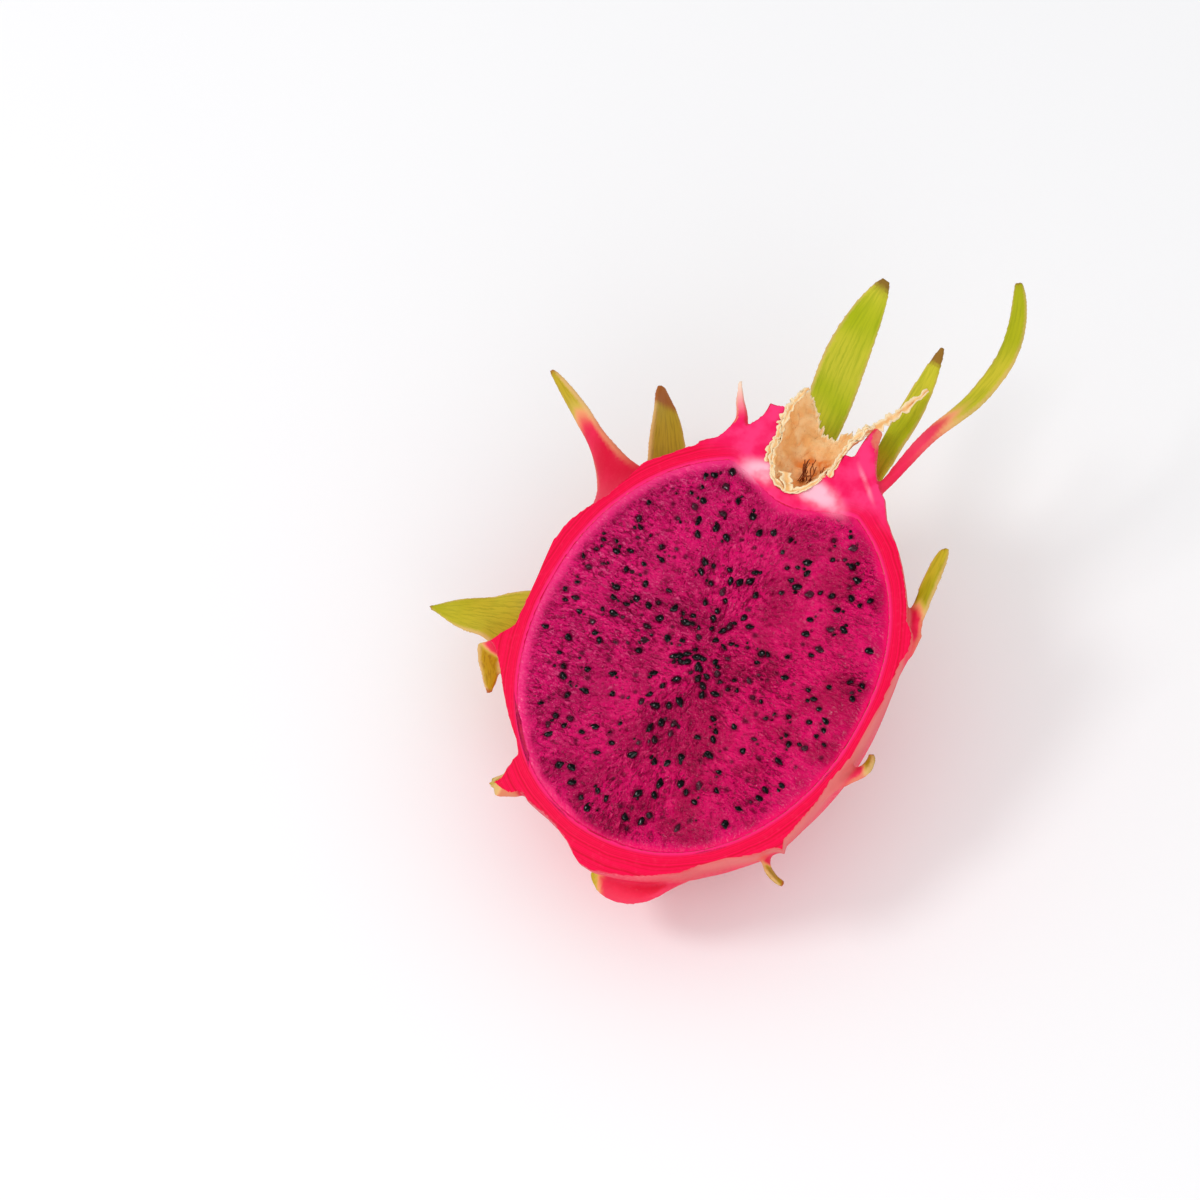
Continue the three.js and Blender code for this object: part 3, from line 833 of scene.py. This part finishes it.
def fleshMaterial():
    n = NodeTree("pulp")
    place = n.add("TexCoord").outputs["Object"]
    streak, rough, left, inside = (n.attribute(a) for a in ("streak", "rough", "left", "inside"))
    patch = n.noise(place, 9, 3)
    # short wrinkles, drawn out along the fibres
    wrinkles = []
    for stretch in ((0.5, 1.0, 1.0), (1.0, 0.5, 1.0)):
        drawn = n.add("VectorMath", {0: place, 1: stretch}, operation="MULTIPLY").outputs[0]
        wrinkles.append(n.noise(drawn, 0.8, 2, 0.5, 1.0))
    wrinkle = n.add("Mix", {0: n.attribute("sideways"), 2: wrinkles[1], 3: wrinkles[0]}).outputs[0]
    speck = n.noise(place, 0.34, 2, 0.6)
    deep = n.mix(n.band(patch, 0.4, 0.6), rgb(180, 0, 72), rgb(220, 0, 96))
    fair = n.mix(n.band(patch, 0.4, 0.6), rgb(196, 8, 92), rgb(220, 8, 104))
    colour = n.mix(left, deep, fair)
    # painted shade in the creases between the wrinkles and along the low streaks, painted highlights on the
    # wrinkles' ridges, and painted glints on the specks
    shade = n.times(n.band(wrinkle, 0.47, 0.38), n.band(rough, 0.15, 0.9, 0.15, 0.8))
    colour = n.mix(shade, colour, rgb(118, 0, 46))
    shade = n.times(n.band(streak, 0.0, -0.5), n.band(rough, 0.1, 1.0, 0.1, 0.3))
    colour = n.mix(shade, colour, rgb(110, 0, 44))
    light = n.times(n.band(wrinkle, 0.56, 0.68), n.band(rough, 0.2, 1.1, 0, 0.55))
    colour = n.mix(light, colour, n.mix(left, rgb(236, 30, 104), rgb(240, 96, 150)))
    glint = n.times(n.band(speck, 0.66, 0.74), n.band(rough, 0.3, 1.1, 0.1, 0.6))
    colour = n.mix(glint, colour, rgb(250, 150, 180))
    rind = n.band(n.math("MULTIPLY_ADD", patch, -2.4, inside), n.band(left, 0, 1, 0.6, 2.6), -1.2)
    colour = n.mix(n.times(rind, 0.9), colour, n.mix(left, rgb(240, 2, 96), rgb(244, 44, 124)))
    veil = n.times(n.attribute("pit"), n.band(n.attribute("bare"), 0, 1, 0.8, 0.7))
    colour = n.mix(veil, colour, rgb(60, 2, 28))
    colour = n.mix(n.band(n.attribute("blush"), 0.1, 0.85, 0, 0.92), colour, rgb(253, 190, 210))
    normal = n.bump(wrinkle, n.band(rough, 0.1, 1.1, 0.35, 1.0), 1.5)
    normal = n.bump(speck, n.band(rough, 0.1, 1.1, 0.3, 0.6), 0.1, normal)
    gloss = n.band(speck, 0.35, 0.65, 0.12, 0.25)
    return n.finish(Base_Color=colour, Roughness=gloss, Normal=normal, Specular_IOR_Level=0.3)


def oneSeed():
    # a drop: round at one end, drawn to a blunt point at the other, a little flat
    bpy.ops.object.select_all(action="DESELECT")
    bpy.ops.mesh.primitive_uv_sphere_add(segments=10, ring_count=6, radius=0.5)
    seed = bpy.context.object
    co = coordsOf(seed)
    narrow = 1 - 0.5 * smoothStep(-0.1, 0.5, co[:, 2])
    setCoords(seed, np.column_stack([co[:, 0] * seedSet["width"] * narrow, co[:, 2] * seedSet["length"],
                                     co[:, 1] * seedSet["thick"] * narrow]) * mm)
    return seed


def buildSeeds(spots):
    rng = np.random.default_rng(8)
    pattern = oneSeed()
    copies, film = [], []
    for x, y, size, veiled in spots:
        seed = pattern.copy()
        seed.data = pattern.data.copy()
        bpy.context.collection.objects.link(seed)
        outwards = float(fibreAngle(np.array([x]), np.array([y]))[0]) - math.pi / 2
        heading = outwards + rng.normal(0, 0.45) + math.pi * int(rng.random() < 0.5)
        lean = rng.choice([0.08, 0.3, 0.8, 1.3], p=[0.5, 0.3, 0.12, 0.08]) * rng.choice([-1, 1])
        turn = Matrix.Rotation(heading, 4, "Z") @ Matrix.Rotation(lean, 4, "X")
        turn = turn @ Matrix.Rotation(rng.normal(0, 0.4), 4, "Y") @ Matrix.Diagonal((size, size, size, 1))
        sunk = -0.75 if veiled else rng.uniform(-0.55, -0.1)
        seed.data.transform(Matrix.Translation((x * mm, y * mm, sunk * mm)) @ turn)
        co = coordsOf(seed)
        dents = [latticeNoise(co / (0.75 * mm) + k, 61 + k) for k in range(3)]
        setCoords(seed, co + 0.26 * mm * np.column_stack(dents))
        film.append(np.full(len(seed.data.vertices), rng.random() if not veiled else 1.0))
        copies.append(seed)
    joined = joinInto(copies[0], copies[1:])
    setAttribute(joined, "film", np.concatenate(film))
    bpy.data.objects.remove(pattern)
    return joined


def seedMaterial():
    n = NodeTree("seed_coat")
    place = n.add("TexCoord").outputs["Object"]
    grain = n.noise(place, 0.5, 2)
    film = n.attribute("film")
    colour = n.mix(n.band(grain, 0.4, 0.7), rgb(6, 5, 8), rgb(22, 20, 26))
    colour = n.mix(n.band(film, 0.75, 1.0, 0, 0.5), colour, rgb(104, 30, 58))
    normal = n.bump(grain, 0.5, 0.12)
    return n.finish(Base_Color=colour, Roughness=n.band(grain, 0.3, 0.7, 0.15, 0.32), Normal=normal,
                    Coat_Weight=0.25, Coat_Roughness=0.08)


flower = {"around": 170, "up": 84, "paper": 0.3, "crumple": 0.6, "frill": 1.0, "fibres": 13}
# the ragged top of the cup: (azimuth, y)
raggedTop = [
    (-12, 64), (2, 66.5), (12, 68), (28, 67), (45, 65.6), (60, 64.4), (78, 63.2), (92, 63),
    (104, 64.5), (116, 67), (135, 69), (150, 70), (165, 69.5), (174, 68), (182, 65), (192, 61),
]


def cupSheet():
    obj, flat = newGrid(flower["around"], flower["up"])
    a = (flat[:, 0] + 1) / 2
    h = (flat[:, 1] + 1) / 2
    fray = 5 * latticeNoise(np.column_stack([h * 17, np.round(a), h * 0]), 59)
    azimuth = 90 + (a - 0.5) * (194 + 2 * fray * np.abs(2 * a - 1) ** 8)
    top = np.interp(azimuth, [r[0] for r in raggedTop], [r[1] for r in raggedTop])
    jag = np.column_stack([azimuth / 5, a * 0, a * 0])
    top = top + 0.9 * latticeNoise(jag, 51) + 0.6 * latticeNoise(jag * 2.7, 52)
    bottom = body["craterBottom"] + 0.25
    y = bottom + (top - bottom) * h ** 1.3
    r = np.maximum(0.12, craterRadius(y) - 0.35)
    r = np.where(h < 0.015, 0.12, r) + 0.4 * np.maximum(0, y - 61) * smoothStep(50, 10, azimuth)
    out = np.column_stack([np.cos(np.radians(azimuth)), 0 * y, -np.sin(np.radians(azimuth))])
    p = out * r[:, None]
    p[:, 1] = y
    p[:, 0] += body["craterShift"]
    folds = latticeNoise(p / 3.1, 53) + 0.5 * latticeNoise(p / 1.3, 54)
    creases = np.abs(latticeNoise(p / 2.3, 55)) * 2 - 0.5
    fromEdge = np.minimum(np.minimum(a, 1 - a) * 30, top - y)
    frill = np.exp(-fromEdge / 0.9) * smoothStep(0, 0.06, h)
    push = flower["crumple"] * (folds + creases) * (1 - frill)
    push = push + flower["frill"] * frill * latticeNoise(p / 0.9, 56)
    p -= out * (np.maximum(0, push + 0.25) * smoothStep(0, 0.1, h))[:, None]
    p[:, 1] += 0.5 * frill * latticeNoise(p / 0.8, 57)
    # what stands out of the cut face is folded over its edge
    over = np.maximum(0, p[:, 2])
    p[:, 0] += 0.8 * over * np.sign(p[:, 0] - body["craterShift"])
    hem = 0.2 + 0.35 * (1 + latticeNoise(p / 1.1, 58)) * smoothStep(0, 0.8, over)
    p[:, 2] = np.where(over > 0, hem, p[:, 2])
    setCoords(obj, p * mm)
    heart = np.exp(-((p[:, 0] - 0.8) ** 2 / 34 + (y - 52) ** 2 / 24))
    return obj, frill, heart


def ribbon(line, width, seed, narrowing):
    # a torn, curled strip of the same paper
    obj, flat = newGrid(8, 70)
    s, t = flat[:, 0], (flat[:, 1] + 1) / 2
    centre = alongPath(line, t)
    along = alongPath(line, np.minimum(t + 0.01, 1)) - alongPath(line, np.maximum(t - 0.01, 0))
    side = np.cross(along / np.linalg.norm(along, axis=1)[:, None], (0.35, 0.2, 0.9))
    length = sum(math.dist(a, b) for a, b in zip(line, line[1:]))
    torn = np.column_stack([t * length, np.sign(s), s * 0])
    tatter = 1 + 0.6 * latticeNoise(torn, seed) + 0.3 * latticeNoise(torn * 2, seed)
    half = width / 2 * (1 - narrowing * t) * tatter
    curl = 0.5 * latticeNoise(np.column_stack([t * length / 1.4, s, s * 0]), seed + 1) + 0.3 * np.abs(s) ** 2
    p = centre + side * (s * half)[:, None]
    p[:, 2] += curl
    setCoords(obj, p * mm)
    return obj, 0.15 + 0.7 * np.abs(s), s * 0


def fibre(angle, length, seed):
    # one dark thread, curling up out of the middle of the cup
    obj, flat = newGrid(4, 12)
    t = (flat[:, 1] + 1) / 2
    bend = 1.1 * latticeNoise(np.column_stack([t * 2, t * 0 + seed, t * 0]), 71)
    reach = length * t
    x = 0.45 * seed % 4.4 - 1.4 + reach * np.sin(angle) + 1.3 * bend * t + flat[:, 0] * 0.09
    y = 48.4 + 0.25 * (seed % 5) + reach * 1.1 * np.cos(angle)
    z = -5.4 + 4.8 * t + 0.8 * bend
    setCoords(obj, np.column_stack([x, y, z]) * mm)
    return obj, t * 0 - 1, t * 0


# strips torn from the cup's edge: (centre line, width, seed, how much narrower they end)
tornStrips = [
    ([(7.2, 63.5, -0.6), (10.6, 68.2, -1.2), (13.2, 75, -3.6), (15.6, 83, -6)], 3, 81, 0.75),
    ([(-10.6, 58, 0.1), (-10.4, 64, 0.2), (-9.2, 69.5, -1)], 2.2, 83, 0.75),
    ([(-10.2, 58, 0.1), (-9.2, 52.5, 0.3), (-8.2, 49.4, 0.3), (-7, 47, 0.3), (-5, 44.8, 0.3),
      (-1.7, 43.6, 0.3), (1.6, 44.8, 0.2), (3.6, 47.2, 0.2), (5.3, 51.5, 0)], 1.5, 85, 0.4),
    ([(-8.4, 48.4, 0.2), (-9.8, 51.4, 0.5), (-9.2, 54.6, 0.2)], 2, 88, 0.4),
    ([(-3.6, 47.6, -0.2), (-2.2, 45.4, 0.5), (-0.8, 43.4, 0.6)], 4.2, 87, 0.5),
    ([(6.4, 51, 0.2), (6.6, 56, 0.3), (7.2, 62, 0), (10, 67.5, -0.6)], 1.2, 89, 0.2),
]


def buildFlower():
    rng = np.random.default_rng(3)
    sheets = [cupSheet()] + [ribbon(*strip) for strip in tornStrips]
    sheets += [fibre(rng.normal(0.2, 0.5), rng.uniform(2.5, 4.5), i) for i in range(flower["fibres"])]
    rim = np.concatenate([s[1] for s in sheets])
    heart = np.concatenate([s[2] for s in sheets])
    obj = joinInto(sheets[0][0], [s[0] for s in sheets[1:]])
    setAttribute(obj, "rim", rim)
    setAttribute(obj, "heart", heart)
    applyModifier(obj, "SOLIDIFY", thickness=flower["paper"] * mm, offset=0)
    return obj


def flowerMaterial():
    n = NodeTree("dry_paper")
    place = n.add("TexCoord").outputs["Object"]
    cloud = n.noise(place, 4, 4)
    vein = n.noise(place, 0.9, 4, 0.7, 1.2)
    heart, rim = n.attribute("heart"), n.attribute("rim")
    colour = n.mix(n.band(cloud, 0.35, 0.65), rgb(243, 180, 108), rgb(252, 206, 146))
    colour = n.mix(n.times(n.band(heart, 0.1, 0.7), n.band(cloud, 0.6, 0.4, 0.4, 1)), colour,
                   rgb(236, 130, 44))
    colour = n.mix(n.band(vein, 0.56, 0.74, 0, 0.45), colour, rgb(180, 98, 42))
    colour = n.mix(n.band(rim, 0.25, 0.75), colour, rgb(252, 228, 184))
    colour = n.mix(n.band(rim, -0.2, -0.8), colour, rgb(142, 66, 20))
    normal = n.bump(vein, 0.5, 0.3)
    return n.finish(Base_Color=colour, Roughness=0.8, Normal=normal)


print("peel")
peelObject = buildPeel()
paintCut(peelObject, skinMaterial(), rimMaterial())
layDown(peelObject, "peel_skin", "peel")
cutAtFloor(peelObject)

print("flesh")
spots = seedSpots()
fleshObject = buildFlesh(spots)
fleshObject.data.materials.append(fleshMaterial())
layDown(fleshObject, "cut_flesh", "flesh")

print("seeds", len(spots))
seedsObject = buildSeeds(spots)
seedsObject.data.materials.append(seedMaterial())
layDown(seedsObject, "seeds", None)

print("dried flower")
flowerObject = buildFlower()
flowerObject.data.materials.append(flowerMaterial())
layDown(flowerObject, "flower_remains", "dried_flower")

studio = {
    "azimuth": 30, "elevation": 60, "distance": 0.78, "frameWidth": 0.282, "offRight": 24.25, "offUp": -11.56,
    "floorSize": 6, "sky": 0.82, "mirroredSky": 0.05, "keyPower": 3.2, "keySize": 0.32, "fillPower": 2.6,
}


def floor():
    bpy.ops.object.select_all(action="DESELECT")
    bpy.ops.mesh.primitive_plane_add(size=studio["floorSize"])
    obj = bpy.context.object
    obj.name = "floor"
    n = NodeTree("pale_floor")
    place = n.add("TexCoord").outputs["Object"]
    tone = n.mix(n.noise(place, 400, 2), rgb(248, 248, 250), rgb(251, 251, 252))
    obj.data.materials.append(n.finish(Base_Color=tone, Roughness=0.7))


def viewAxes():
    a, e = math.radians(studio["azimuth"]), math.radians(studio["elevation"])
    back = Vector((math.sin(a) * math.cos(e), -math.cos(a) * math.cos(e), math.sin(e)))
    right = Vector((math.cos(a), math.sin(a), 0))
    return back, right, back.cross(right)


def camera():
    back, right, up = viewAxes()
    target = fruitPlace.translation - right * studio["offRight"] * mm - up * studio["offUp"] * mm
    bpy.ops.object.camera_add()
    cam = bpy.context.object
    cam.matrix_world = Matrix.Translation(target + back * studio["distance"]) @ Matrix(
        (right, up, back)).transposed().to_4x4()
    cam.data.sensor_width = 36
    cam.data.lens = 36 * studio["distance"] / studio["frameWidth"]
    cam.data.clip_start = 0.01
    bpy.context.scene.camera = cam


def softLight(name, where, size, power):
    bpy.ops.object.light_add(type="AREA", location=where)
    light = bpy.context.object
    light.name = name
    light.data.shape = "DISK"
    light.data.size = size
    light.data.energy = power
    light.rotation_euler = (Vector((0, 0, 0.03)) - Vector(where)).to_track_quat("-Z", "Y").to_euler()


floor()
camera()
softLight("key", (-0.62, -0.45, 0.95), studio["keySize"], studio["keyPower"])
softLight("fill", (0.7, -0.8, 0.6), 0.9, studio["fillPower"])
world = bpy.data.worlds.new("studio")
world.use_nodes = True
skyNodes = world.node_tree.nodes
mirrored = skyNodes.new("ShaderNodeLightPath").outputs["Is Glossy Ray"]
strength = skyNodes.new("ShaderNodeMapRange")
strength.inputs["To Min"].default_value = studio["sky"]
strength.inputs["To Max"].default_value = studio["mirroredSky"]
world.node_tree.links.new(mirrored, strength.inputs["Value"])
world.node_tree.links.new(strength.outputs[0], skyNodes["Background"].inputs["Strength"])
skyNodes["Background"].inputs["Color"].default_value = (1, 1, 1, 1)
bpy.context.scene.world = world
bpy.context.scene.view_settings.view_transform = "Standard"
